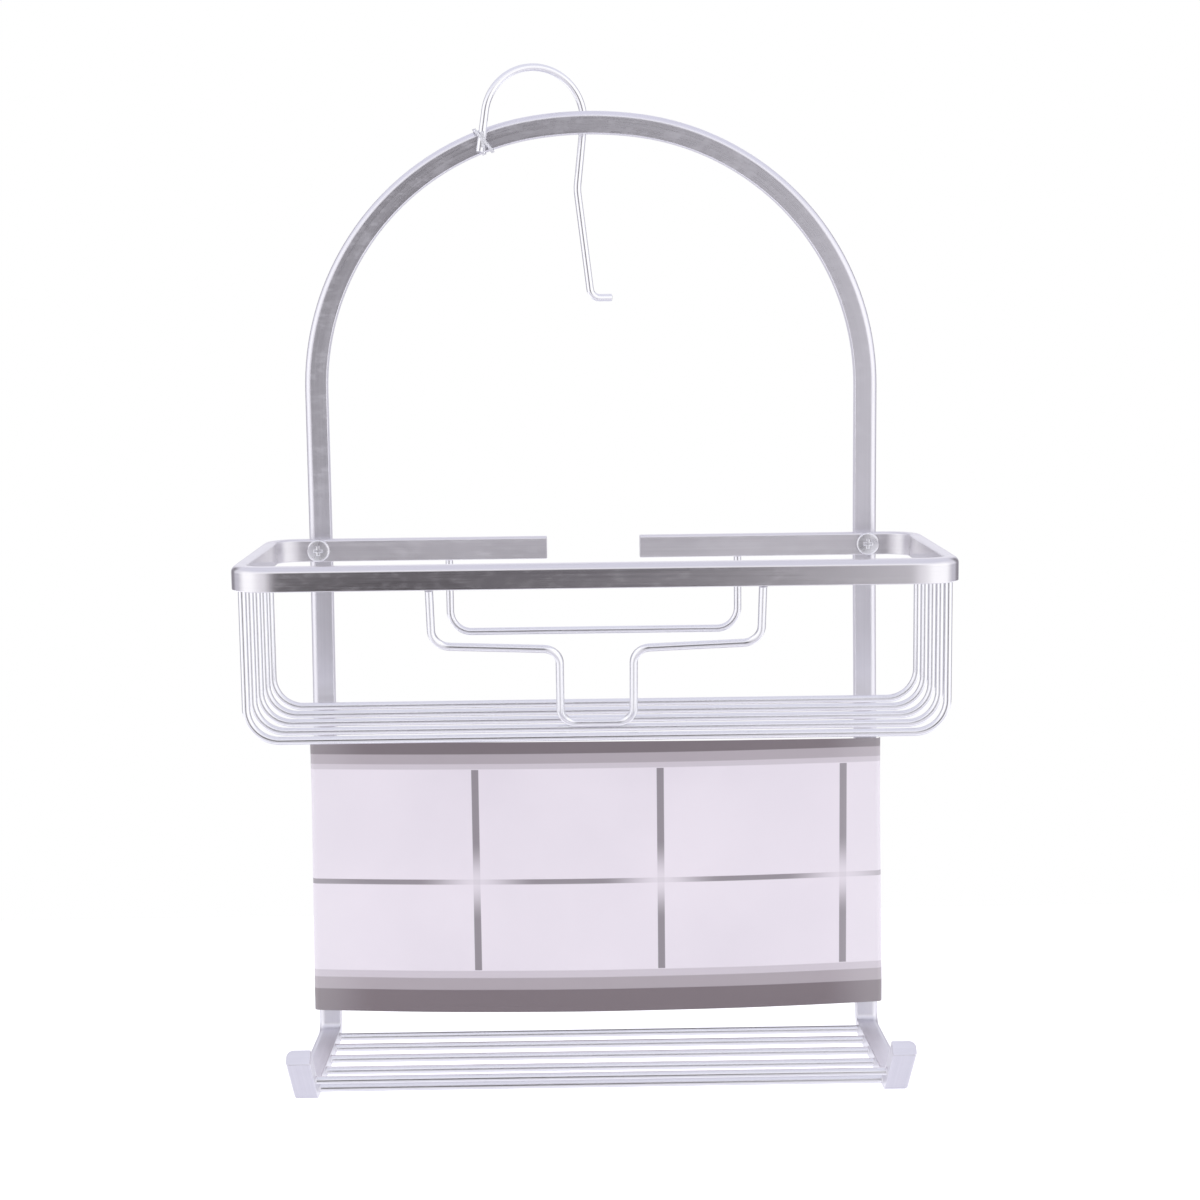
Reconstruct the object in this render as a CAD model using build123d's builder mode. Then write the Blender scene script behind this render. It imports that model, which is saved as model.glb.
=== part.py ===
from build123d import *
import os
from math import acos, asin, atan2, cos, degrees, hypot, radians, sin, sqrt, tan

# A hanging shower caddy in aluminium flat bar and round wire.
# Frame: +X to the viewer's right, +Y towards the wall, +Z up. The origin is the
# hanging seat, under the middle of the arch's crown, half way through the bar.

os.makedirs("parts", exist_ok=True)

# ---- Flat bar, shared by the arch and the basket rim ----
bar_width = 10.5
bar_thickness = 7.0
bar_face_radius = 3.0      # the large rounded edge, on the outer side of the face
bar_back_radius = 1.2      # the edge beside it
bar_inner_radius = 0.4     # the two crisp edges on the inner side

# ---- Arch, uprights, arms and hook plates ----
arch_half_width = 135.0    # to the outside of the uprights
arch_shoulder_inset = 7.0  # half width less the shoulders' outside radius
arch_crown_step = 48.0     # the crown's outside radius less the shoulders'
arch_height = 432.0        # hanging seat to the arms' centre line at the uprights
arm_length = 94.0          # upright centre line to the hook plate's corner
arm_rise_angle = 3.5       # the arms climb a little towards the front
foot_bend_radius = 3.0     # inside radius of the bend under the upright
hook_bend_radius = 4.0
hook_plate_length = 35.5
hook_plate_lean = 45.5     # degrees forward from upright

# ---- Basket ----
basket_overhang = 20.0     # each side, beyond the uprights
basket_depth = 120.0
rim_corner_radius = 16.0   # outside of the corner
rim_top_drop = 187.0       # hanging seat to the top of the rim
rim_rear_gap = 44.0
basket_wire_count = 5
basket_wire_diameter = 3.5
basket_wire_pitch = 20.0
basket_wire_first = 9.5    # first wire, behind the rim's front face
basket_wire_offset = 1.7   # legs, in from the middle of the side rims
basket_wire_drop = 65.0    # rim underside to the floor wires' centre line
basket_wire_bend = 14.0    # centre line radius

# ---- Front guard wire, a wide U with a narrow U below it ----
guard_wire_diameter = 3.5
front_guard_half_width = 70.4
front_guard_shoulder_drop = 27.4
front_guard_shoulder_fall = 2.3   # the shoulders slope down towards the neck
front_guard_neck_half_width = 15.9
front_guard_outer_bend = 8.0
front_guard_inner_bend = 7.0
front_guard_rest_angle = 42.0   # where it leans on the second basket wire
front_guard_rest_gap = 0.1

# ---- Rear guard wire ----
rear_guard_half_width = 68.4
rear_guard_drop = 34.8
rear_guard_bend = 10.0

# ---- Shelf wires and rails between the arms and between the hook plates ----
shelf_wire_diameter = 3.5
shelf_wire_count = 4
shelf_wire_first = 7.5     # in front of the uprights' centre line
shelf_wire_pitch = 18.5
shelf_edge_setback = 5.0   # last wire, behind the hook plates' corner
front_rail_climb = 11.5    # up the hook plates from their corner
rear_rail_height = 31.0    # above the arms' centre line

# ---- Screws and sleeve nuts that hold the rim to the uprights ----
screw_head_diameter = 10.6
screw_head_height = 2.3
screw_head_round = 1.5
screw_diameter = 4.0
screw_clearance = 0.2
recess_width = 4.6
recess_slot = 1.1
recess_depth = 1.4
nut_barrel_diameter = 5.6
nut_flange_diameter = 8.2
nut_flange_thickness = 1.2
nut_floor = 0.8            # closed end of the nut, flush with the upright's back
screw_end_gap = 0.8        # screw's tip to the end of the nut's bore
thread_clearance = 0.05

# ---- Loose hanging hook ----
hook_wire_diameter = 3.5
hook_clearance = 0.6       # each leg to the bar's front or back face
hook_centre_x = -25.5
hook_loop_centre = (0.6, 7.0)
hook_loop_radius = 23.6
hook_short_leg_lean = 8.7
hook_short_leg_length = 19.0
hook_long_leg_lean = 6.5
hook_kink_length = 29.5
hook_lower_lean = 7.0
hook_lower_length = 50.8
hook_foot_length = 10.0
hook_kink_radius = 20.0
hook_foot_radius = 4.6

# ---- Clear tie, a strap round the bar and the hook's short leg ----
tie_x = -48.8
tie_skew = 16.0            # turned from square to the bar
tie_strap_width = 2.0
tie_strap_thickness = 0.7
tie_clearance = 0.6
tie_corner_radius = 1.0

# ---- Card sleeve, wrapped round both uprights ----
card_thickness = 0.6
card_clearance = 0.5       # in front of and behind the uprights
card_side_clearance = 2.0
card_edge_radius = 1.8
card_bow = 3.2             # the front panel swells forward in the middle
card_upper_gap = 24.3      # card's upper edge below the basket's floor wires
card_lower_gap = 11.5      # card's lower edge above the arms' centre line

# ---- Places worked out from the sizes above ----
centre_half_width = arch_half_width - bar_width / 2
arch_shoulder_radius = arch_half_width - arch_shoulder_inset
arch_crown_radius = arch_shoulder_radius + arch_crown_step
upright_front = -bar_thickness / 2
upright_back = bar_thickness / 2
arch_rise = arch_crown_radius - sqrt(arch_crown_step**2 - arch_shoulder_inset**2)
spring_z = bar_width - arch_rise
shoulder_angle = degrees(acos(arch_shoulder_inset / arch_crown_step))

basket_width = 2 * (arch_half_width + basket_overhang)
rim_outer_x = basket_width / 2
rim_back_y = upright_front
rim_front_y = rim_back_y - basket_depth
rim_centre_back_y = rim_back_y - bar_thickness / 2
rim_centre_front_y = rim_front_y + bar_thickness / 2
rim_centre_x = rim_outer_x - bar_thickness / 2
rim_top_z = -rim_top_drop
rim_centre_z = rim_top_z - bar_width / 2
rim_bottom_z = rim_top_z - bar_width

arm_slope = tan(radians(arm_rise_angle))


def arm_centre_z(y):
    """Height of the arms' centre line at a given depth."""
    return -arch_height - y * arm_slope


hook_corner = (-arm_length, arm_centre_z(-arm_length))
plate_direction = (-sin(radians(hook_plate_lean)), cos(radians(hook_plate_lean)))


def on_hook_plate(distance):
    """Depth and height on the hook plates' centre line, up from their corner."""
    return (
        hook_corner[0] + plate_direction[0] * distance,
        hook_corner[1] + plate_direction[1] * distance,
    )


def flat_bar_section(plane):
    """The bar's section: its rounded side faces the plane's +X, its face -Y."""
    half_width = bar_width / 2
    half_thickness = bar_thickness / 2
    corners = (
        (half_width, -half_thickness, bar_face_radius),
        (half_width, half_thickness, bar_back_radius),
        (-half_width, -half_thickness, bar_inner_radius),
        (-half_width, half_thickness, bar_inner_radius),
    )
    with BuildSketch(plane) as section:
        Rectangle(bar_width, bar_thickness)
        for x, y, radius in corners:
            fillet(section.vertices().sort_by_distance((x, y, 0))[0], radius)
    return section.sketch


def round_wire(path, diameter):
    """A round wire along a path of tangent lines and arcs."""
    with BuildPart() as wire:
        with BuildSketch(Plane(origin=path @ 0, z_dir=path % 0)):
            Circle(diameter / 2)
        sweep(path=path)
    return wire.part


def straight_wire(start_x, end_x, y, z, diameter):
    """A straight wire along X that butts between two faces."""
    with BuildPart() as wire:
        with BuildSketch(Plane.YZ.offset(start_x)):
            with Locations((y, z)):
                Circle(diameter / 2)
        extrude(amount=end_x - start_x)
    return wire.part


def save(part, name):
    """Label a finished piece and write it to its own file."""
    part.label = name
    export_step(part, f"parts/{name}.step")


# ---- Fastener places, shared by the holes and the fasteners ----
screw_x = centre_half_width
screw_z = rim_centre_z
nut_length = bar_thickness

# ---- arch_frame: one bar from hook plate to hook plate ----
plate_tip = on_hook_plate(hook_plate_length)
foot_corner = (0, -arch_height)
leg_radii = [
    hook_bend_radius + bar_thickness / 2,
    foot_bend_radius + bar_thickness / 2,
]

with BuildLine(Plane.YZ.offset(centre_half_width)) as right_leg:
    FilletPolyline(plate_tip, hook_corner, foot_corner, (0, spring_z), radius=leg_radii)

with BuildLine(Plane.YZ.offset(-centre_half_width)) as left_leg:
    FilletPolyline(plate_tip, hook_corner, foot_corner, (0, spring_z), radius=leg_radii)

with BuildLine(Plane.XZ) as arch:
    CenterArc(
        (arch_shoulder_inset, spring_z),
        arch_shoulder_radius - bar_width / 2,
        0,
        shoulder_angle,
    )
    CenterArc(
        (0, bar_width - arch_crown_radius),
        arch_crown_radius - bar_width / 2,
        shoulder_angle,
        180 - 2 * shoulder_angle,
    )
    CenterArc(
        (-arch_shoulder_inset, spring_z),
        arch_shoulder_radius - bar_width / 2,
        180 - shoulder_angle,
        shoulder_angle,
    )

bar_path = Wire(right_leg.edges() + arch.edges() + left_leg.edges())
tip_plane = Plane(
    origin=(centre_half_width, *plate_tip),
    x_dir=(1, 0, 0),
    z_dir=(0, -plate_direction[0], -plate_direction[1]),
)

with BuildPart() as arch_frame:
    sweep(sections=flat_bar_section(tip_plane), path=bar_path)
    with Locations(Plane.XZ.offset(-upright_back)):
        with Locations((-screw_x, screw_z), (screw_x, screw_z)):
            Cylinder(
                nut_barrel_diameter / 2 + thread_clearance,
                2 * nut_length,
                mode=Mode.SUBTRACT,
            )
            Cylinder(
                nut_flange_diameter / 2 + thread_clearance,
                2 * nut_flange_thickness,
                mode=Mode.SUBTRACT,
            )

save(arch_frame.part, "arch_frame")

# ---- basket_rim: the same bar on edge, open in the middle of its back ----
gap_x = rim_rear_gap / 2
rim_bend = rim_corner_radius - bar_thickness / 2

with BuildLine(Plane.XY.offset(rim_centre_z)) as rim_path:
    FilletPolyline(
        (gap_x, rim_centre_back_y),
        (rim_centre_x, rim_centre_back_y),
        (rim_centre_x, rim_centre_front_y),
        (-rim_centre_x, rim_centre_front_y),
        (-rim_centre_x, rim_centre_back_y),
        (-gap_x, rim_centre_back_y),
        radius=rim_bend,
    )

rim_start = Plane(
    origin=(gap_x, rim_centre_back_y, rim_centre_z),
    x_dir=(0, 0, 1),
    z_dir=(1, 0, 0),
)

with BuildPart() as basket_rim:
    sweep(sections=flat_bar_section(rim_start), path=rim_path.wires()[0])
    with Locations(Plane.XZ.offset(-rim_centre_back_y)):
        with Locations((-screw_x, screw_z), (screw_x, screw_z)):
            Cylinder(
                screw_diameter / 2 + screw_clearance,
                2 * bar_thickness,
                mode=Mode.SUBTRACT,
            )

save(basket_rim.part, "basket_rim")

# ---- basket_wire_1 to 5: U-shaped wires under the side rims ----
leg_x = rim_centre_x - basket_wire_offset
floor_z = rim_bottom_z - basket_wire_drop
wire_y = [
    rim_front_y + basket_wire_first + i * basket_wire_pitch
    for i in range(basket_wire_count)
]

for i in range(basket_wire_count):
    with BuildLine(Plane.XZ.offset(-wire_y[i])) as basket_path:
        FilletPolyline(
            (-leg_x, rim_bottom_z),
            (-leg_x, floor_z),
            (leg_x, floor_z),
            (leg_x, rim_bottom_z),
            radius=basket_wire_bend,
        )
    basket_wire = round_wire(basket_path.wires()[0], basket_wire_diameter)
    save(basket_wire, f"basket_wire_{i + 1}")

# ---- front_guard_wire: leans back from the front rim onto the second wire ----
rest_distance = (basket_wire_diameter + guard_wire_diameter) / 2 + front_guard_rest_gap
rest_y = wire_y[1] - rest_distance * sin(radians(front_guard_rest_angle))
rest_z = floor_z + rest_distance * cos(radians(front_guard_rest_angle))
guard_run_y = rest_y - rim_centre_front_y
guard_run_z = rim_bottom_z - rest_z
guard_length = hypot(guard_run_y, guard_run_z)
guard_lean = atan2(guard_run_y, guard_run_z)
guard_plane = Plane(
    origin=(0, rim_centre_front_y, rim_bottom_z),
    x_dir=(1, 0, 0),
    z_dir=(0, -cos(guard_lean), -sin(guard_lean)),
)
guard_overlap = guard_wire_diameter    # run into the rim, then trimmed flush
guard_neck_drop = front_guard_shoulder_drop + front_guard_shoulder_fall

with BuildLine(guard_plane) as guard_path:
    FilletPolyline(
        (-front_guard_half_width, guard_overlap),
        (-front_guard_half_width, -front_guard_shoulder_drop),
        (-front_guard_neck_half_width, -guard_neck_drop),
        (-front_guard_neck_half_width, -guard_length),
        (front_guard_neck_half_width, -guard_length),
        (front_guard_neck_half_width, -guard_neck_drop),
        (front_guard_half_width, -front_guard_shoulder_drop),
        (front_guard_half_width, guard_overlap),
        radius=[
            front_guard_outer_bend,
            front_guard_inner_bend,
            front_guard_inner_bend,
            front_guard_inner_bend,
            front_guard_inner_bend,
            front_guard_outer_bend,
        ],
    )

with BuildPart() as front_guard_wire:
    add(round_wire(guard_path.wires()[0], guard_wire_diameter))
    split(bisect_by=Plane.XY.offset(rim_bottom_z), keep=Keep.BOTTOM)

save(front_guard_wire.part, "front_guard_wire")

# ---- rear_guard_wire: a U under the two rear ends of the rim ----
with BuildLine(Plane.XZ.offset(-rim_centre_back_y)) as rear_guard_path:
    FilletPolyline(
        (-rear_guard_half_width, rim_bottom_z),
        (-rear_guard_half_width, rim_bottom_z - rear_guard_drop),
        (rear_guard_half_width, rim_bottom_z - rear_guard_drop),
        (rear_guard_half_width, rim_bottom_z),
        radius=rear_guard_bend,
    )

rear_guard_wire = round_wire(rear_guard_path.wires()[0], guard_wire_diameter)
save(rear_guard_wire, "rear_guard_wire")

# ---- shelf wires and rails: straight wires between the inner side faces ----
inner_x = arch_half_width - bar_width
shelf_y = [-shelf_wire_first - i * shelf_wire_pitch for i in range(shelf_wire_count)]
shelf_y.append(shelf_edge_setback - arm_length)

for i, y in enumerate(shelf_y):
    z = arm_centre_z(y)
    shelf_wire = straight_wire(-inner_x, inner_x, y, z, shelf_wire_diameter)
    save(shelf_wire, f"shelf_wire_{i + 1}")

rail_y, rail_z = on_hook_plate(front_rail_climb)
shelf_front_rail = straight_wire(-inner_x, inner_x, rail_y, rail_z, shelf_wire_diameter)
save(shelf_front_rail, "shelf_front_rail")

rear_rail_z = rear_rail_height - arch_height
shelf_rear_rail = straight_wire(-inner_x, inner_x, 0, rear_rail_z, shelf_wire_diameter)
save(shelf_rear_rail, "shelf_rear_rail")

# ---- screws and sleeve nuts ----
head_seat_y = rim_back_y - bar_thickness
nut_bore_depth = nut_length - nut_floor
screw_length = bar_thickness + nut_bore_depth - screw_end_gap

for side, x in (("left", -screw_x), ("right", screw_x)):
    with BuildPart() as screw:
        with BuildSketch(Plane.XZ.offset(-head_seat_y)):
            with Locations((x, screw_z)):
                Circle(screw_head_diameter / 2)
        extrude(amount=screw_head_height)
        fillet(screw.edges().sort_by(Axis.Y)[0], screw_head_round)
        with BuildSketch(Plane.XZ.offset(screw_head_height - head_seat_y)):
            with Locations((x, screw_z)):
                Rectangle(recess_width, recess_slot)
                Rectangle(recess_slot, recess_width)
        extrude(amount=-recess_depth, mode=Mode.SUBTRACT)
        with BuildSketch(Plane.XZ.offset(-head_seat_y)):
            with Locations((x, screw_z)):
                Circle(screw_diameter / 2)
        extrude(amount=-screw_length)
    save(screw.part, f"{side}_screw")

    with BuildPart() as sleeve_nut:
        with BuildSketch(Plane.XZ.offset(-upright_back)):
            with Locations((x, screw_z)):
                Circle(nut_flange_diameter / 2)
        extrude(amount=nut_flange_thickness)
        with BuildSketch(Plane.XZ.offset(-upright_back)):
            with Locations((x, screw_z)):
                Circle(nut_barrel_diameter / 2)
        extrude(amount=nut_length)
        with BuildSketch(Plane.XZ.offset(nut_length - upright_back)):
            with Locations((x, screw_z)):
                Circle(screw_diameter / 2 + thread_clearance)
        extrude(amount=-nut_bore_depth, mode=Mode.SUBTRACT)
    save(sleeve_nut.part, f"{side}_sleeve_nut")

# ---- hanging_hook: one bent wire, in front of the bar on its short leg ----
hook_leg_offset = bar_thickness / 2 + hook_wire_diameter / 2 + hook_clearance
hook_twist = asin(hook_leg_offset / hook_loop_radius)
hook_plane = Plane(
    origin=(hook_centre_x, 0, 0),
    x_dir=(cos(hook_twist), sin(hook_twist), 0),
    z_dir=(sin(hook_twist), -cos(hook_twist), 0),
)


def step(point, angle, distance):
    """The point a distance away, at an angle from straight down towards +X."""
    return (
        point[0] + distance * sin(radians(angle)),
        point[1] - distance * cos(radians(angle)),
    )


loop_start_angle = 180 - hook_short_leg_lean
loop_end_angle = -hook_long_leg_lean
loop_start = (
    hook_loop_centre[0] + hook_loop_radius * cos(radians(loop_start_angle)),
    hook_loop_centre[1] + hook_loop_radius * sin(radians(loop_start_angle)),
)
loop_end = (
    hook_loop_centre[0] + hook_loop_radius * cos(radians(loop_end_angle)),
    hook_loop_centre[1] + hook_loop_radius * sin(radians(loop_end_angle)),
)
short_leg_end = step(loop_start, -hook_short_leg_lean, hook_short_leg_length)
kink = step(loop_end, -hook_long_leg_lean, hook_kink_length)
hook_heel = step(kink, hook_lower_lean, hook_lower_length)
hook_foot = (hook_heel[0] + hook_foot_length, hook_heel[1])

with BuildLine(hook_plane) as hook_path:
    Line(short_leg_end, loop_start)
    CenterArc(
        hook_loop_centre,
        hook_loop_radius,
        loop_start_angle,
        loop_end_angle - loop_start_angle,
    )
    FilletPolyline(
        loop_end,
        kink,
        hook_heel,
        hook_foot,
        radius=[hook_kink_radius, hook_foot_radius],
    )

hanging_hook = round_wire(hook_path.wires()[0], hook_wire_diameter)
save(hanging_hook, "hanging_hook")

# ---- clear_tie: a closed strap round the bar and the hook's short leg ----
centre_radius = arch_shoulder_radius - bar_width / 2
tie_z = spring_z + sqrt(centre_radius**2 - (tie_x + arch_shoulder_inset) ** 2)
bar_turn = degrees(atan2(tie_x + arch_shoulder_inset, tie_z - spring_z))
tie_turn = radians(bar_turn - tie_skew)
tie_down = (-sin(tie_turn), 0, -cos(tie_turn))
tie_plane = Plane(
    origin=(tie_x, 0, tie_z),
    x_dir=(0, 1, 0),
    z_dir=(-tie_down[2], 0, tie_down[0]),
)
leg_offset_y = (tie_x - hook_centre_x) * tan(hook_twist)
tie_inner_back = upright_back + tie_clearance
tie_inner_front = leg_offset_y - hook_wire_diameter / 2 - tie_clearance
tie_skew_slack = tie_strap_width * tan(radians(tie_skew))
tie_inner_height = bar_width / cos(radians(tie_skew)) + tie_skew_slack + 2 * tie_clearance
tie_inner_depth = tie_inner_back - tie_inner_front
tie_centre_y = (tie_inner_back + tie_inner_front) / 2

with BuildPart() as clear_tie:
    with BuildSketch(tie_plane):
        with Locations((tie_centre_y, 0)):
            RectangleRounded(
                tie_inner_depth + 2 * tie_strap_thickness,
                tie_inner_height + 2 * tie_strap_thickness,
                tie_corner_radius + tie_strap_thickness,
            )
            RectangleRounded(
                tie_inner_depth,
                tie_inner_height,
                tie_corner_radius,
                mode=Mode.SUBTRACT,
            )
    extrude(amount=tie_strap_width / 2, both=True)

save(clear_tie.part, "clear_tie")

# ---- card_sleeve: printed card folded round both uprights ----
card_inner_x = arch_half_width + card_side_clearance
card_inner_back = upright_back + card_clearance
card_inner_front = upright_front - card_clearance
card_lower_z = card_lower_gap - arch_height
card_upper_z = floor_z - card_upper_gap


def card_outline(growth):
    """The card's closed outline in plan, grown outwards by a distance."""
    x = card_inner_x + growth
    back = card_inner_back + growth
    front = card_inner_front - growth
    with BuildSketch() as outline:
        with BuildLine():
            Polyline((-x, front), (-x, back), (x, back), (x, front))
            ThreePointArc((x, front), (0, front - card_bow), (-x, front))
        make_face()
        fillet(outline.vertices(), card_edge_radius + growth)
    return outline.sketch


with BuildPart() as card_sleeve:
    with BuildSketch(Plane.XY.offset(card_lower_z)):
        add(card_outline(card_thickness))
        add(card_outline(0), mode=Mode.SUBTRACT)
    extrude(amount=card_upper_z - card_lower_z)

save(card_sleeve.part, "card_sleeve")
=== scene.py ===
import math
import random

import bpy
from mathutils import Matrix, Quaternion, Vector


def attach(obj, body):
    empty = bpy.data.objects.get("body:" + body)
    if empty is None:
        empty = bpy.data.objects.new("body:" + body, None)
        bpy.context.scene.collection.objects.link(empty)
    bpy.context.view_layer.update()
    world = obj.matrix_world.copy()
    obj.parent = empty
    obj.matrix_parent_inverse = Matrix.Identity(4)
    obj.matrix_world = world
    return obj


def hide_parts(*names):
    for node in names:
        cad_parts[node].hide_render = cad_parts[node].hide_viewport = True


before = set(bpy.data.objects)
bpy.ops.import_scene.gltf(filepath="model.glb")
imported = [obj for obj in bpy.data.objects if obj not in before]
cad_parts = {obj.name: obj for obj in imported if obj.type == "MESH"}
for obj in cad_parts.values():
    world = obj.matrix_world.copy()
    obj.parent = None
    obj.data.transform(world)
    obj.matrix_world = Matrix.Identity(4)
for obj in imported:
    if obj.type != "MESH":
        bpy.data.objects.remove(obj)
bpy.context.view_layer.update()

MM = 0.001

# ---- Sizes of the caddy, in millimetres ----
BAR_W, BAR_T = 10.5, 7.0
ARCH_HALF = 135.0                  # uprights' outer faces
HALF = ARCH_HALF - BAR_W / 2       # uprights' centre lines
SHOULDER_R, CROWN_R = 128.0, 176.0
SHOULDER_INSET = 7.0               # shoulder arcs' centres, out from the middle
RADIUS_STEP = CROWN_R - SHOULDER_R
SPRING_Z = BAR_W - (CROWN_R - math.sqrt(RADIUS_STEP ** 2 - SHOULDER_INSET ** 2))
RIM_HALF = 155.0
RIM_TOP = -187.0
RIM_Z = RIM_TOP - BAR_W / 2
RIM_UNDER = RIM_TOP - BAR_W
RIM_BACK_Y = -7.0
RIM_FRONT_Y = -120.0
RIM_GAP_HALF = 22.0                # half the gap in the rim's back
WIRE_R = 1.75
FLOOR_Z = -262.5
ARM_Z = -432.0
ARM_LEN = 94.0
ARM_SLOPE = math.tan(math.radians(3.5))
PLATE_LEAN, PLATE_LEN = math.radians(45.5), 35.5
PLATE_DIR = Vector((0, -math.sin(PLATE_LEAN), math.cos(PLATE_LEAN)))
FOOT_SPREAD = 2.2                  # how far each upright stands out at the arms


# =====================================================================
# Shape tools
# =====================================================================
def vec(*p):
    return Vector(p)


def spread(z):
    """How far an upright stands out at a height: nothing at the rim, most at the arms."""
    return FOOT_SPREAD * max(0.0, min(1.0, (RIM_UNDER - z) / (RIM_UNDER - ARM_Z)))


def rounded_path(points, radii, step=5.0):
    """Points and directions along straight runs joined by tangent arcs, in mm."""
    pts = [Vector(p) for p in points]
    if not isinstance(radii, (list, tuple)):
        radii = [radii] * (len(pts) - 2)
    out = [(pts[0], (pts[1] - pts[0]).normalized())]
    for i in range(1, len(pts) - 1):
        b = pts[i]
        u = (pts[i - 1] - b).normalized()
        v = (pts[i + 1] - b).normalized()
        inner = u.angle(v)
        turn = math.pi - inner
        r = radii[i - 1]
        start = b + u * (r / math.tan(inner / 2))
        centre = b + (u + v).normalized() * (r / math.sin(inner / 2))
        axis = (-u).cross(v).normalized()
        n = max(3, math.ceil(math.degrees(turn) / step))
        for k in range(n + 1):
            q = Quaternion(axis, turn * k / n)
            out.append((centre + q @ (start - centre), q @ (-u)))
    out.append((pts[-1], (pts[-1] - pts[-2]).normalized()))
    return out


def thicken_path(path, longest=12.0):
    """Adds points on long runs, so that none is longer than a length in mm."""
    out = [path[0]]
    for (p, d), (q, e) in zip(path, path[1:]):
        n = max(1, math.ceil((q - p).length / longest))
        for k in range(1, n):
            out.append((p.lerp(q, k / n), (d + (e - d) * (k / n)).normalized()))
        out.append((q, e))
    return out


def soften(path, reach, longest=1.5):
    """Lets each bend's turn ease in and out over a short length, as bent bar does."""
    path = thicken_path(path, longest)
    run, at = 0.0, []
    for i, (p, d) in enumerate(path):
        if i:
            run += (p - path[i - 1][0]).length
        at.append(run)
    out = []
    for (p, d), here in zip(path, at):
        total = Vector((0, 0, 0))
        for (q, e), there in zip(path, at):
            weight = 1 - abs(there - here) / reach
            if weight > 0:
                total += e * weight
        out.append((p, total.normalized()))
    return out


def bar_section():
    """The flat bar's outline: place, normal, distance round it and edge wear."""
    w, t = BAR_W / 2, BAR_T / 2
    crisp = 0.5                    # corners with a smaller radius show wear
    # Each corner's place, radius, first angle and number of steps.
    corners = (
        (w, -t, 3.0, -90, 7), (w, t, 1.2, 0, 4), (-w, t, 0.4, 90, 3), (-w, -t, 0.4, 180, 3),
    )
    out, run, last = [], 0.0, None
    for a, b, r, start, n in corners:
        ca, cb = math.copysign(abs(a) - r, a), math.copysign(abs(b) - r, b)
        steps = [(start + 90 * k / n, 0.0) for k in range(n + 1)]
        if r < crisp:
            steps = [(start, -0.5)] + steps + [(start + 90, 0.5)]
        for degrees, past in steps:
            ang = math.radians(degrees)
            c, s = math.cos(ang), math.sin(ang)
            p = (ca + r * c - past * s, cb + r * s + past * c)
            if last:
                run += math.dist(p, last)
            last = p
            out.append((p[0], p[1], c, s, run, 1.0 if r < crisp and past == 0 else 0.0))
    return out, run + math.dist(last, out[0][:2])


def round_section(radius, n=28):
    """A round wire's outline, in the same form as bar_section's."""
    out = []
    for k in range(n):
        ang = 2 * math.pi * k / n
        c, s = math.cos(ang), math.sin(ang)
        out.append((radius * c, radius * s, c, s, radius * ang, 0.0))
    return out, 2 * math.pi * radius


def build(name, verts, normals, faces, uvs, wear, material):
    """A smooth mesh object with UVs in metres, and its own normals and edge wear if given."""
    mesh = bpy.data.meshes.new(name)
    mesh.from_pydata([tuple(v * MM) for v in verts], [], faces)
    mesh.polygons.foreach_set("use_smooth", [True] * len(faces))
    layer = mesh.uv_layers.new(name="UVMap")
    k = 0
    for face_uv in uvs:
        for uv in face_uv:
            layer.data[k].uv = (uv[0] * MM, uv[1] * MM)
            k += 1
    if wear is not None:
        attribute = mesh.attributes.new("edge_wear", "FLOAT", "POINT")
        attribute.data.foreach_set("value", wear)
    mesh.materials.append(material)
    mesh.validate()
    if normals is not None:
        mesh.normals_split_custom_set_from_vertices([tuple(n.normalized()) for n in normals])
    obj = bpy.data.objects.new(name, mesh)
    bpy.context.scene.collection.objects.link(obj)
    return obj


def sweep(name, path, side_of, section, material, bevel=0.25, level=0.0):
    """Sweeps a section along a path, with its ends bevelled.

    side_of(i, point, direction) is the section's first axis. level, from 0 to 1, turns
    the normals towards level where the path runs up or down.
    """
    ring, perimeter = section
    n = len(ring)
    verts, normals, wear, rows = [], [], [], []
    length = 0.0
    last = None
    rings = []
    for i, (p, d) in enumerate(path):
        if last is not None:
            length += (p - last).length
        last = p
        s = side_of(i, p, d)
        rings.append((p, d, s, d.cross(s), length))
    first, final = rings[0], rings[-1]

    def add_ring(p, d, s, f, shrink, normal=None):
        start = len(verts)
        for a, b, na, nb, _, worn in ring:
            verts.append(p + s * (a - na * shrink) + f * (b - nb * shrink))
            facing = normal if normal else s * na + f * nb
            normals.append(vec(facing.x, facing.y, facing.z * (1 - level * abs(d.z))))
            wear.append(worn)
        return start

    p, d, s, f, _ = first
    rows.append((add_ring(p, d, s, f, bevel, -d), -bevel))
    rows.append((add_ring(p + d * bevel, d, s, f, 0), 0.0))
    for p, d, s, f, run in rings[1:-1]:
        rows.append((add_ring(p, d, s, f, 0), run))
    p, d, s, f, run = final
    rows.append((add_ring(p - d * bevel, d, s, f, 0), run - bevel))
    rows.append((add_ring(p, d, s, f, bevel, d), run))

    faces, uvs = [], []
    for (r0, u0), (r1, u1) in zip(rows, rows[1:]):
        for j in range(n):
            k = (j + 1) % n
            v0 = ring[j][4]
            v1 = ring[k][4] if k else perimeter
            faces.append((r0 + j, r0 + k, r1 + k, r1 + j))
            uvs.append(((u0, v0), (u0, v1), (u1, v1), (u1, v0)))
    faces.append(tuple(rows[-1][0] + j for j in range(n)))
    uvs.append([(ring[j][0], ring[j][1]) for j in range(n)])
    faces.append(tuple(rows[0][0] + j for j in reversed(range(n))))
    uvs.append([(ring[j][0], ring[j][1]) for j in reversed(range(n))])
    return build(name, verts, normals, faces, uvs, wear, material)


def wire(name, path, plane_normal, material, bevel=0.25, level=0.0):
    """A round wire along a path that lies in one plane."""
    normal = Vector(plane_normal).normalized()
    section = round_section(WIRE_R)
    return sweep(name, path, lambda i, p, d: normal, section, material, bevel, level)


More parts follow.
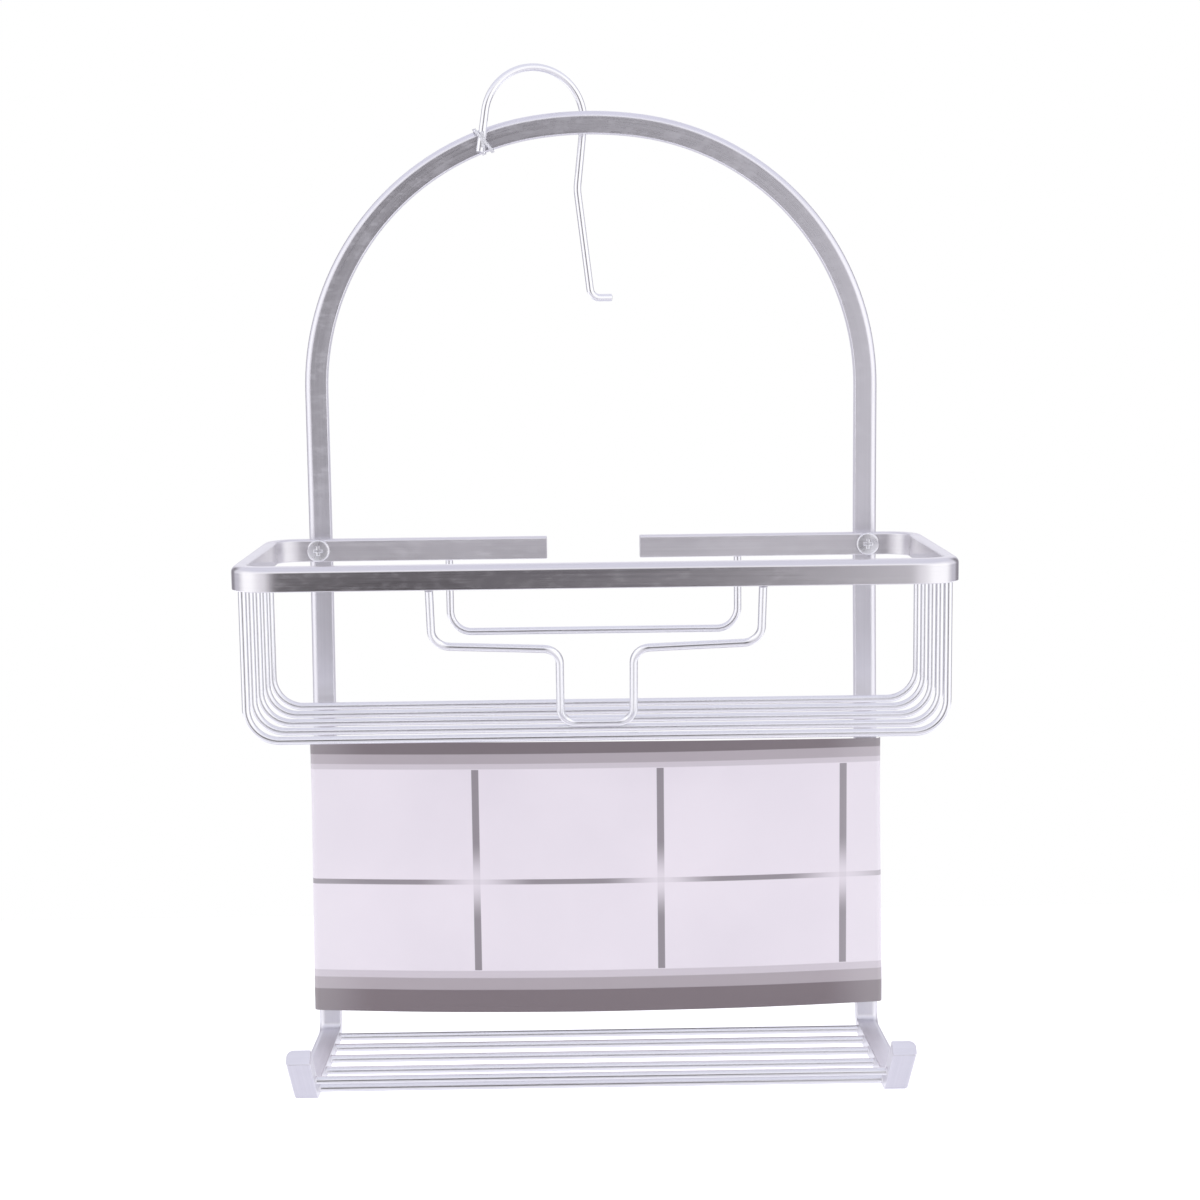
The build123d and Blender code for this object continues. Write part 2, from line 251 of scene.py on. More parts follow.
def lathe(name, profile, centre, axis, material, n):
    """A turned piece: profile of (radius, height) along an axis from a centre, in mm."""
    z = Vector(axis).normalized()
    x = z.orthogonal().normalized()
    y = z.cross(x)
    verts, normals, wear, faces, uvs = [], [], [], [], []
    rows = []
    run = 0.0
    for i, (r, h) in enumerate(profile):
        a = profile[max(0, i - 1)]
        b = profile[min(len(profile) - 1, i + 1)]
        if i:
            run += math.dist(profile[i], profile[i - 1])
        dr, dh = b[0] - a[0], b[1] - a[1]
        rows.append((len(verts), run))
        for k in range(n):
            ang = 2 * math.pi * k / n
            out = x * math.cos(ang) + y * math.sin(ang)
            verts.append(Vector(centre) + z * h + out * r)
            normals.append(out * dh - z * dr if (dr or dh) else z)
            wear.append(0.0)
    for (r0, u0), (r1, u1) in zip(rows, rows[1:]):
        for j in range(n):
            k = (j + 1) % n
            faces.append((r0 + j, r0 + k, r1 + k, r1 + j))
            uvs.append(((u0, j), (u0, j + 1), (u1, j + 1), (u1, j)))
    return build(name, verts, normals, faces, uvs, wear, material)


# =====================================================================
# Materials
# =====================================================================
class Graph:
    """A short way to add and link a node tree's nodes."""

    def __init__(self, tree):
        self.tree = tree

    def add(self, kind, **values):
        node = self.tree.nodes.new(kind)
        for key, value in values.items():
            if hasattr(node, key):
                setattr(node, key, value)
            else:
                node.inputs[key.replace("_", " ")].default_value = value
        return node

    def link(self, a, b):
        self.tree.links.new(a, b)

    def math(self, operation, a, b=0.0):
        node = self.tree.nodes.new("ShaderNodeMath")
        node.operation = operation
        for i, value in enumerate((a, b)):
            if isinstance(value, (int, float)):
                node.inputs[i].default_value = value
            else:
                self.link(value, node.inputs[i])
        return node.outputs[0]

    def mix(self, factor, a, b):
        node = self.tree.nodes.new("ShaderNodeMix")
        node.data_type = "RGBA"
        for socket, value in ((node.inputs[0], factor), (node.inputs[6], a), (node.inputs[7], b)):
            if isinstance(value, tuple):
                socket.default_value = (*value, 1.0)
            elif isinstance(value, (int, float)):
                socket.default_value = value
            else:
                self.link(value, socket)
        return node.outputs[2]

    def range(self, value, from_min, from_max, to_min, to_max, smooth=False):
        node = self.tree.nodes.new("ShaderNodeMapRange")
        if smooth:
            node.interpolation_type = "SMOOTHSTEP"
        self.link(value, node.inputs[0])
        for i, number in enumerate((from_min, from_max, to_min, to_max)):
            node.inputs[i + 1].default_value = number
        return node.outputs[0]

    def noise(self, vector, scale, detail=3.0, roughness=0.5):
        node = self.tree.nodes.new("ShaderNodeTexNoise")
        node.inputs["Scale"].default_value = scale
        node.inputs["Detail"].default_value = detail
        node.inputs["Roughness"].default_value = roughness
        self.link(vector, node.inputs["Vector"])
        return node.outputs[0]

    def stretch(self, vector, x, y, z=1.0):
        node = self.tree.nodes.new("ShaderNodeMapping")
        node.inputs["Scale"].default_value = (x, y, z)
        self.link(vector, node.inputs["Vector"])
        return node.outputs[0]

    def bump(self, height, strength, distance, normal=None):
        node = self.tree.nodes.new("ShaderNodeBump")
        node.inputs["Strength"].default_value = strength
        node.inputs["Distance"].default_value = distance
        self.link(height, node.inputs["Height"])
        if normal is not None:
            self.link(normal, node.inputs["Normal"])
        return node.outputs[0]


class Nodes(Graph):
    """The nodes of a new material."""

    def __init__(self, name):
        self.material = bpy.data.materials.new(name)
        self.material.use_nodes = True
        super().__init__(self.material.node_tree)
        self.shader = self.tree.nodes["Principled BSDF"]


def metal(
    name, light, dark, roughness, line_bump, lines_along, anisotropy,
    wear=True, rear=0.0, below=0.0,
):
    """Satin metal with drawn lines along it, soft stains, fine scratches and worn edges.

    rear and below make it rougher at the caddy's back and towards its foot.
    """
    m = Nodes(name)
    uv = m.add("ShaderNodeUVMap", uv_map="UVMap").outputs[0]
    place = m.add("ShaderNodeTexCoord").outputs["Object"]
    lines = m.noise(m.stretch(uv, lines_along, 2600.0), 1.0, 4.0, 0.62)
    broad = m.noise(m.stretch(uv, lines_along * 0.5, 520.0), 1.0, 2.0, 0.5)
    stains = m.noise(place, 42.0, 4.0, 0.55)
    smears = m.noise(m.stretch(place, 1.0, 1.0, 2.2), 160.0, 3.0, 0.6)
    scratch = m.noise(m.stretch(uv, 260.0, 4200.0), 1.0, 1.0, 0.4)
    scratch = m.range(scratch, 0.72, 0.78, 0.0, 1.0)
    line_mix = m.math("ADD", m.math("MULTIPLY", lines, 0.6), m.math("MULTIPLY", broad, 0.4))
    tone = m.range(line_mix, 0.35, 0.65, 0.0, 1.0)
    color = m.mix(tone, dark, light)
    stained = m.range(stains, 0.52, 0.72, 0.0, 0.10, smooth=True)
    color = m.mix(stained, color, tuple(c * 0.86 for c in dark))
    scratched = tuple(min(1.0, c * 1.12) for c in light)
    color = m.mix(m.math("MULTIPLY", scratch, 0.12), color, scratched)
    rough = m.range(line_mix, 0.3, 0.7, roughness - 0.035, roughness + 0.035)
    rough = m.math("ADD", rough, m.range(smears, 0.45, 0.75, 0.0, 0.05, smooth=True))
    if rear:
        depth = m.add("ShaderNodeSeparateXYZ")
        m.link(place, depth.inputs[0])
        rough = m.math("ADD", rough, m.range(depth.outputs[1], -0.030, -0.014, 0.0, rear))
    if below:
        height = m.add("ShaderNodeSeparateXYZ")
        m.link(place, height.inputs[0])
        rough = m.math("ADD", rough, m.range(height.outputs[2], -0.02, -0.40, 0.0, below))
    if wear:
        worn = m.add("ShaderNodeAttribute", attribute_name="edge_wear").outputs["Fac"]
        worn = m.math("MULTIPLY", worn, m.range(smears, 0.35, 0.6, 0.2, 0.7))
        polished = tuple(min(1.0, c * 1.10) for c in light)
        color = m.mix(m.math("MULTIPLY", worn, 0.45), color, polished)
        rough = m.math("SUBTRACT", rough, m.math("MULTIPLY", worn, 0.03))
    m.link(color, m.shader.inputs["Base Color"])
    m.link(rough, m.shader.inputs["Roughness"])
    m.shader.inputs["Metallic"].default_value = 1.0
    m.shader.inputs["Anisotropic"].default_value = anisotropy
    tangent = m.add("ShaderNodeTangent", direction_type="UV_MAP", uv_map="UVMap").outputs[0]
    m.link(tangent, m.shader.inputs["Tangent"])
    fine = m.bump(line_mix, line_bump, 0.00002)
    m.link(fine, m.shader.inputs["Normal"])
    return m.material


bar_metal = metal(
    "satin_bar", (0.82, 0.81, 0.85), (0.77, 0.76, 0.80),
    roughness=0.275, line_bump=0.02, lines_along=14.0, anisotropy=0.2, below=0.15,
)
rim_metal = metal(
    "satin_rim", (0.80, 0.785, 0.81), (0.745, 0.73, 0.755),
    roughness=0.18, line_bump=0.02, lines_along=14.0, anisotropy=0.2, rear=0.15,
)
wire_metal = metal(
    "satin_wire", (0.86, 0.86, 0.885), (0.83, 0.83, 0.855),
    roughness=0.20, line_bump=0.0, lines_along=20.0, anisotropy=0.0, wear=False,
)
hook_metal = metal(
    "bright_wire", (0.88, 0.88, 0.895), (0.85, 0.85, 0.87),
    roughness=0.17, line_bump=0.0, lines_along=24.0, anisotropy=0.0, wear=False,
)
screw_metal = metal(
    "screw_steel", (0.86, 0.86, 0.88), (0.80, 0.80, 0.82),
    roughness=0.28, line_bump=0.1, lines_along=60.0, anisotropy=0.0, wear=False,
)


def weld_material():
    """Satin metal with the small ripples of a ground weld."""
    m = Nodes("weld_metal")
    place = m.add("ShaderNodeTexCoord").outputs["Object"]
    ripples = m.noise(place, 1400.0, 2.0, 0.5)
    color = m.mix(m.range(ripples, 0.4, 0.6, 0, 1), (0.74, 0.73, 0.77), (0.84, 0.83, 0.86))
    m.link(color, m.shader.inputs["Base Color"])
    m.link(m.range(ripples, 0.3, 0.7, 0.30, 0.42), m.shader.inputs["Roughness"])
    m.shader.inputs["Metallic"].default_value = 1.0
    m.link(m.bump(ripples, 0.3, 0.0001), m.shader.inputs["Normal"])
    return m.material


weld_metal = weld_material()


def tie_material():
    """Clear plastic, a little milky, with drawn lines along the strap."""
    m = Nodes("clear_strap")
    uv = m.add("ShaderNodeUVMap", uv_map="UVMap").outputs[0]
    lines = m.noise(m.stretch(uv, 60.0, 3000.0), 1.0, 3.0, 0.6)
    color = m.mix(m.range(lines, 0.35, 0.65, 0, 1), (0.93, 0.93, 0.96), (0.98, 0.98, 1.0))
    m.link(color, m.shader.inputs["Base Color"])
    m.link(m.range(lines, 0.3, 0.7, 0.12, 0.26), m.shader.inputs["Roughness"])
    m.shader.inputs["Transmission Weight"].default_value = 0.30
    m.shader.inputs["IOR"].default_value = 1.49
    m.link(m.bump(lines, 0.3, 0.00005), m.shader.inputs["Normal"])
    return m.material


tie_plastic = tie_material()


# =====================================================================
# The arch frame
# =====================================================================
def arch_path():
    """From the right hook plate's tip, along the arm, over the arch and down again."""
    split = math.degrees(math.acos(SHOULDER_INSET / RADIUS_STEP))
    corner_z = ARM_Z + ARM_LEN * ARM_SLOPE
    tip = vec(0, -ARM_LEN, corner_z) + PLATE_DIR * PLATE_LEN
    leg = [tip, vec(0, -ARM_LEN, corner_z), vec(0, 0, ARM_Z), vec(0, 0, SPRING_Z)]
    side = rounded_path(leg, [4.0 + BAR_T / 2, 3.0 + BAR_T / 2], 7.0)
    shift = vec(HALF, 0, 0)
    side = thicken_path(side, 30.0)
    path = [(p + shift + vec(spread(p.z), 0, 0), d) for p, d in side]
    sides = [vec(1, 0, 0)] * len(side)

    def arc(cx, cz, r, a0, a1, n):
        for k in range(1, n + 1):
            ang = math.radians(a0 + (a1 - a0) * k / n)
            out = vec(math.cos(ang), 0, math.sin(ang))
            path.append((vec(cx, 0, cz) + out * r, vec(-out.z, 0, out.x)))
            sides.append(out)

    arc(SHOULDER_INSET, SPRING_Z, SHOULDER_R - BAR_W / 2, 0, split, 40)
    arc(0, BAR_W - CROWN_R, CROWN_R - BAR_W / 2, split, 180 - split, 14)
    arc(-SHOULDER_INSET, SPRING_Z, SHOULDER_R - BAR_W / 2, 180 - split, 180, 40)
    for p, d in reversed(side[:-1]):
        path.append((p - shift - vec(spread(p.z), 0, 0), -d))
        sides.append(vec(-1, 0, 0))
    return path, sides


path, sides = arch_path()
arch = sweep(
    "arch_frame_bar", path, lambda i, p, d: sides[i], bar_section(), bar_metal, bevel=0.35,
)
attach(arch, "frame")
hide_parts("arch_frame")

# =====================================================================
# The basket
# =====================================================================
rim_x = RIM_HALF - BAR_T / 2
rim_points = [
    vec(RIM_GAP_HALF, RIM_BACK_Y, RIM_Z),
    vec(rim_x, RIM_BACK_Y, RIM_Z),
    vec(rim_x, RIM_FRONT_Y, RIM_Z),
    vec(-rim_x, RIM_FRONT_Y, RIM_Z),
    vec(-rim_x, RIM_BACK_Y, RIM_Z),
    vec(-RIM_GAP_HALF, RIM_BACK_Y, RIM_Z),
]
rim_path = soften(rounded_path(rim_points, 16.0 - BAR_T / 2, 5.0), 9.0)
rim = sweep(
    "basket_rim_bar", rim_path, lambda i, p, d: vec(0, 0, 1), bar_section(), rim_metal,
)
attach(rim, "frame")
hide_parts("basket_rim")

leg_x = rim_x - 1.7                # the wires' legs, a little inside the rim's middle
first_wire, wire_pitch = 9.5, 20.0
wire_ys = [RIM_FRONT_Y - BAR_T / 2 + first_wire + wire_pitch * i for i in range(5)]
welds = []                         # where a wire butts against a bar, which way it leaves

for i, y in enumerate(wire_ys):
    corners = [
        vec(-leg_x, y, RIM_UNDER), vec(-leg_x, y, FLOOR_Z),
        vec(leg_x, y, FLOOR_Z), vec(leg_x, y, RIM_UNDER),
    ]
    run = rounded_path(corners, 14.0, 6.0)
    piece = wire(f"basket_wire_{i + 1}_round", run, (0, 1, 0), wire_metal)
    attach(piece, "frame")
    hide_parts(f"basket_wire_{i + 1}")
    welds += [(corners[0], vec(0, 0, -1)), (corners[3], vec(0, 0, -1))]

# The front guard leans back from the rim, to stand just clear of the second wire.
rest = 2 * WIRE_R + 0.1
rest_angle = math.radians(42)
rest_y = wire_ys[1] - rest * math.sin(rest_angle)
rest_z = FLOOR_Z + rest * math.cos(rest_angle)
down = vec(0, rest_y - RIM_FRONT_Y, rest_z - RIM_UNDER)
guard_len = down.length
down.normalize()
guard_top = vec(0, RIM_FRONT_Y, RIM_UNDER)


def on_guard(x, drop):
    """A point on the front guard's plane, so far down from the rim."""
    return guard_top + vec(x, 0, 0) + down * drop


wide, narrow = 70.4, 15.9          # the T's arms and stem, half across
arm_drop, stem_drop = 27.4, 29.7   # how far down its arms end and its stem starts
guard = [
    on_guard(-wide, 0), on_guard(-wide, arm_drop),
    on_guard(-narrow, stem_drop), on_guard(-narrow, guard_len),
    on_guard(narrow, guard_len), on_guard(narrow, stem_drop),
    on_guard(wide, arm_drop), on_guard(wide, 0),
]
guard_path = rounded_path(guard, [8, 7, 7, 7, 7, 8], 7.0)
piece = wire("front_guard_round", guard_path, vec(1, 0, 0).cross(down), wire_metal, level=0.8)
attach(piece, "frame")
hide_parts("front_guard_wire")
welds += [(guard[0], down), (guard[-1], down)]

rear_half, rear_low = 68.4, RIM_UNDER - 34.8
rear = [
    vec(-rear_half, RIM_BACK_Y, RIM_UNDER), vec(-rear_half, RIM_BACK_Y, rear_low),
    vec(rear_half, RIM_BACK_Y, rear_low), vec(rear_half, RIM_BACK_Y, RIM_UNDER),
]
piece = wire("rear_guard_round", rounded_path(rear, 10.0, 6.0), (0, 1, 0), wire_metal)
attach(piece, "frame")
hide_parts("rear_guard_wire")
welds += [(rear[0], vec(0, 0, -1)), (rear[-1], vec(0, 0, -1))]

# =====================================================================
# The shelf
# =====================================================================
inner_x = ARCH_HALF - BAR_W
front_rail_up, rear_rail_up = 11.5, 31.0
shelf_ys = [-7.5, -26.0, -44.5, -63.0, -89.0]
shelf = [(f"shelf_wire_{i + 1}", y, ARM_Z - y * ARM_SLOPE) for i, y in enumerate(shelf_ys)]
rail = vec(0, -ARM_LEN, ARM_Z + ARM_LEN * ARM_SLOPE) + PLATE_DIR * front_rail_up
shelf.append(("shelf_front_rail", rail.y, rail.z))
shelf.append(("shelf_rear_rail", 0.0, ARM_Z + rear_rail_up))
for node, y, z in shelf:
    reach = inner_x + spread(z)
    ends = [vec(-reach, y, z), vec(reach, y, z)]
    run = thicken_path([(ends[0], vec(1, 0, 0)), (ends[1], vec(1, 0, 0))], 30.0)
    piece = wire(node + "_round", run, (0, 1, 0), wire_metal, bevel=0.05)
    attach(piece, "frame")
    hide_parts(node)
    welds += [(ends[0], vec(1, 0, 0)), (ends[1], vec(-1, 0, 0))]

# Small ground welds where the wires meet the bars.
for i, (at, leaves) in enumerate(welds):
    profile = [(WIRE_R + 0.35, 0.02)]
    for k in range(1, 6):
        ang = math.radians(90 * k / 5)
        profile.append((WIRE_R + 0.36 - 0.35 * math.sin(ang), 0.5 - 0.5 * math.cos(ang)))
    ring = lathe(f"weld_{i + 1}", profile, at, leaves, weld_metal, 24)
    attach(ring, "frame")

# =====================================================================
# Screws and sleeve nuts
# =====================================================================
head_y = RIM_BACK_Y - BAR_T / 2


def screw_head(name, x):
    """A pan head with a flat rim, a shallow dome and a cross recess."""
    n = 96
    slot_half, slot_reach, slot_depth = 0.70, 2.30, 0.45
    # Radius and height, from the rim in to the middle.
    rows = [(5.30, 0.0), (5.30, 1.20), (5.24, 1.50), (5.10, 1.75), (4.90, 1.92), (4.70, 1.98),
            (4.30, 2.03), (3.70, 2.09), (3.10, 2.14), (2.70, 2.17), (2.30, 2.20), (1.90, 2.22),
            (1.50, 2.24), (1.15, 2.26), (0.80, 2.27), (0.50, 2.28), (0.20, 2.28)]
    verts, faces, uvs, starts = [], [], [], []
    for r, h in rows:
        starts.append(len(verts))
        for k in range(n):
            ang = 2 * math.pi * k / n
            c, s = math.cos(ang), math.sin(ang)
            along = max(abs(c), abs(s)) * r
            across = min(abs(c), abs(s)) * r
            inside = max(0.0, min(1.0, (slot_half - across) / 0.35))
            inside *= max(0.0, min(1.0, (slot_reach - along) / 0.45))
            verts.append(vec(x + r * c, head_y - h + slot_depth * inside, RIM_Z + r * s))
    for r0, r1 in zip(starts, starts[1:]):
        for j in range(n):
            k = (j + 1) % n
            faces.append((r0 + j, r0 + k, r1 + k, r1 + j))
            uvs.append(((0.0, 0.1 * j), (0.0, 0.1 * j + 0.1), (0.4, 0.1 * j + 0.1), (0.4, 0.1 * j)))
    faces.append(tuple(starts[-1] + j for j in range(n)))
    uvs.append([(0.0, 0.0)] * n)
    obj = build(name, verts, None, faces, uvs, None, screw_metal)
    obj.data.set_sharp_from_angle(angle=math.radians(35))
    return obj


# The sleeve nut's flange: radius and height, from the rim in to the middle.
flange = [
    (4.10, 0.0), (4.08, 0.12), (3.95, 0.22), (3.7, 0.26),
    (2.3, 0.28), (2.15, 0.24), (2.0, 0.05), (0.02, 0.0),
]
for side, x in (("left", -HALF), ("right", HALF)):
    head = screw_head(f"{side}_screw_head", x)
    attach(head, "frame")
    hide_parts(f"{side}_screw")
    back = BAR_T / 2
    nut = lathe(f"{side}_nut_flange", flange, vec(x, back, RIM_Z), (0, 1, 0), screw_metal, 48)
    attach(nut, "frame")
    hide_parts(f"{side}_sleeve_nut")

# =====================================================================
# The loose hanging hook
# =====================================================================
HOOK_X, LOOP_R = -25.5, 23.6
# The loop goes over the bar from front to back, so the hook's plane is turned to clear it.
twist = math.asin((BAR_T / 2 + WIRE_R + 0.6) / LOOP_R)
across = vec(math.cos(twist), math.sin(twist), 0)
hook_origin = vec(HOOK_X, 0, 0)


def on_hook(a, z):
    """A point in the hook's plane, so far across and up."""
    return hook_origin + across * a + vec(0, 0, z)


def step(p, angle, distance):
    """A move downwards in the hook's plane, turned by an angle in degrees."""
    ang = math.radians(angle)
    return (p[0] + distance * math.sin(ang), p[1] - distance * math.cos(ang))


def on_loop(ang):
    """A point on the loop's arc, in the hook's plane."""
    return (loop_c[0] + LOOP_R * math.cos(ang), loop_c[1] + LOOP_R * math.sin(ang))


loop_c = (0.6, 7.0)
short_lean, long_lean = -8.7, -6.5     # the two legs' leans just below the loop, in degrees
a0, a1 = 180 + short_lean, long_lean
loop = []
for k in range(49):
    ang = math.radians(a0 + (a1 - a0) * k / 48)
    loop.append((on_hook(*on_loop(ang)), across * math.sin(ang) - vec(0, 0, math.cos(ang))))
first, last = on_loop(math.radians(a0)), on_loop(math.radians(a1))
short_end = step(first, short_lean, 19.0)
kink = step(last, long_lean, 29.5)
heel = step(kink, 7.0, 50.8)
foot = (heel[0] + 10.0, heel[1])
lower = rounded_path([on_hook(*p) for p in (last, kink, heel, foot)], [20.0, 4.6], 4.0)
start_dir = (on_hook(*first) - on_hook(*short_end)).normalized()
hook_path = [(on_hook(*short_end), start_dir)] + loop[:-1] + lower
hook = wire("hanging_hook_wire", hook_path, across.cross(vec(0, 0, 1)), hook_metal)
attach(hook, "hook")
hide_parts("hanging_hook")

# =====================================================================
# The clear tie: a thin strap drawn round the bar and the hook's short leg
# =====================================================================
tie_x = -48.8
from_centre = tie_x + SHOULDER_INSET
tie_z = SPRING_Z + math.sqrt((SHOULDER_R - BAR_W / 2) ** 2 - from_centre ** 2)
turn = math.atan2(from_centre, tie_z - SPRING_Z)
leg_y = (tie_x - HOOK_X) * math.tan(twist)
out = vec(math.sin(turn), 0, math.cos(turn))         # square to the bar
along = vec(math.cos(turn), 0, -math.sin(turn))      # along the bar


def strap(name, points, width, thickness):
    """A thin closed strap through points of (out, depth, along) about the tie's middle."""
    middle = vec(tie_x, 0, tie_z)
    pts = [middle + out * a + vec(0, b, 0) + along * c for a, b, c in points]
    rows = []
    n = len(pts)
    for i in range(n):
        d = pts[(i + 1) % (n - 1)] - pts[(i - 1) % (n - 1)]
        d.normalize()
        rows.append((pts[i], d, (along - d * along.dot(d)).normalized()))
    section = []
    for a, b, na, nb in (
        (1, -1, 0.7, -0.7), (1, 1, 0.7, 0.7), (-1, 1, -0.7, 0.7), (-1, -1, -0.7, -0.7),
    ):
        section.append((a * width / 2, b * thickness / 2, na, nb, (a + 1) * width / 2, 0.0))
    path = [(p, d) for p, d, w in rows]
    outline = (section, 2 * width)
    return sweep(name, path, lambda i, p, d: rows[i][2], outline, tie_plastic, bevel=0.02)


def loop_points(skew, gap):
    """Once round the bar and the wire in front of it, with its corners rounded off.

    skew slants the loop along the bar. gap is the room left inside it.
    """
    h, back, front = BAR_W / 2 + gap, BAR_T / 2 + gap, leg_y - WIRE_R - gap
    face = -BAR_T / 2 - gap
    corners = [
        (-h, back), (h, back), (h, face), (WIRE_R * 1.6, front), (-WIRE_R * 1.6, front), (-h, face),
    ]
    raw = []
    for i, (a, b) in enumerate(corners):
        pa, pb = corners[i - 1]
        qa, qb = corners[(i + 1) % len(corners)]
        for t in (0.16, 0.08):
            raw.append((a + (pa - a) * t, b + (pb - b) * t))
        raw.append((a * 0.97, b * 0.97 if b > 0 else b))
        for t in (0.08, 0.16):
            raw.append((a + (qa - a) * t, b + (qb - b) * t))
    pts = [(a, b, a * skew) for a, b in raw]
    return pts + [pts[0]]


band = strap("clear_tie_band", loop_points(skew=0.32, gap=0.60), width=1.7, thickness=0.28)
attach(band, "frame")
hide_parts("clear_tie")
cross = strap(
    "clear_tie_second_turn", loop_points(skew=-0.38, gap=0.95), width=1.5, thickness=0.26,
)
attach(cross, "frame")

# =====================================================================
# The card sleeve
# =====================================================================
CARD_X, CARD_BACK, CARD_FRONT = 137.0, 4.0, -4.0     # the card's inner faces
CARD_T, CARD_BOW = 0.6, 3.2                          # its thickness and its front's swell
CARD_LOW, CARD_TOP = ARM_Z + 11.5, FLOOR_Z - 24.3


def card_material():
    """Coated card printed with plain grey bands and a pale tile pattern, no lettering."""
    m = Nodes("printed_card")
    uv = m.add("ShaderNodeUVMap", uv_map="UVMap").outputs[0]
    place = m.add("ShaderNodeTexCoord").outputs["Object"]
    split = m.add("ShaderNodeSeparateXYZ")
    m.link(uv, split.inputs[0])
    x = split.outputs[0]                               # metres on the print
    # The printed lines climb a little towards both folds, most of all near the bottom.
    curl = m.range(split.outputs[1], -0.420, -0.290, 0.090, 0.044)
    z = m.math("SUBTRACT", split.outputs[1], m.math("MULTIPLY", m.math("MULTIPLY", x, x), curl))
    side = m.add("ShaderNodeAttribute", attribute_name="print_side").outputs["Fac"]
    fibre = m.noise(place, 900.0, 4.0, 0.6)
    cloud = m.noise(place, 14.0, 3.0, 0.5)

    def between(value, low, high, soft=0.00012):
        a = m.range(value, low - soft, low + soft, 0, 1)
        b = m.range(value, high - soft, high + soft, 1, 0)
        return m.math("MULTIPLY", a, b)

    # Heights on the print are the frame's own z, in metres.
    tile = m.mix(m.range(cloud, 0.35, 0.65, 0, 1), (0.885, 0.828, 0.885), (0.925, 0.865, 0.920))
    line_color = (0.335, 0.305, 0.330)
    pale = (0.700, 0.645, 0.690)
    # Tile joints fade towards the crossings, like light on grout.
    joints = (-0.0584, 0.0308, 0.1193)
    joint_half, crossing, faintest = 0.0017, -0.3552, 0.12
    color = tile
    for joint in joints:
        from_crossing = m.math("ABSOLUTE", m.math("SUBTRACT", z, crossing))
        near = m.range(from_crossing, 0.0, 0.020, faintest, 1.0, True)
        line = between(x, joint - joint_half, joint + joint_half)
        mask = m.math("MULTIPLY", line, between(z, -0.3994, -0.2998))
        color = m.mix(m.math("MULTIPLY", mask, near), color, line_color)
    far = None
    for joint in joints:
        d = m.math("ABSOLUTE", m.math("SUBTRACT", x, joint))
        fade = m.range(d, 0.0, 0.030, faintest, 1.0, True)
        far = fade if far is None else m.math("MINIMUM", far, fade)
    color = m.mix(m.math("MULTIPLY", between(z, -0.35645, -0.35395), far), color, line_color)
    # Plain bands above and below the tiles, each darker than the one before.
    edge = 0.0002
    for start, shade in (
        (-0.2995, pale), (-0.2969, (0.500, 0.450, 0.480)), (-0.2921, (0.230, 0.195, 0.210)),
    ):
        color = m.mix(m.range(z, start - edge, start + edge, 0, 1), color, shade)
    for start, shade in (
        (-0.3997, pale), (-0.4033, (0.480, 0.430, 0.455)), (-0.4093, (0.230, 0.192, 0.205)),
    ):
        color = m.mix(m.range(z, start + edge, start - edge, 0, 1), color, shade)
    # Painted sheen: the print is lightened towards both folds, where the card curves back and
    # catches more light.
    painted_fold_sheen = m.range(m.math("ABSOLUTE", x), 0.108, 0.136, 0.0, 0.16, True)
    color = m.mix(painted_fold_sheen, color, (0.90, 0.88, 0.90))
    board = m.mix(m.range(fibre, 0.4, 0.6, 0, 1), (0.62, 0.60, 0.58), (0.70, 0.68, 0.66))
    color = m.mix(side, board, color)
    m.link(color, m.shader.inputs["Base Color"])
    m.link(m.range(cloud, 0.3, 0.7, 0.30, 0.42), m.shader.inputs["Roughness"])
    m.shader.inputs["Specular IOR Level"].default_value = 0.45
    m.shader.inputs["Coat Weight"].default_value = 0.25
    m.shader.inputs["Coat Roughness"].default_value = 0.2
    m.link(m.bump(fibre, 0.12, 0.00006, m.bump(cloud, 0.25, 0.0010)), m.shader.inputs["Normal"])
    return m.material


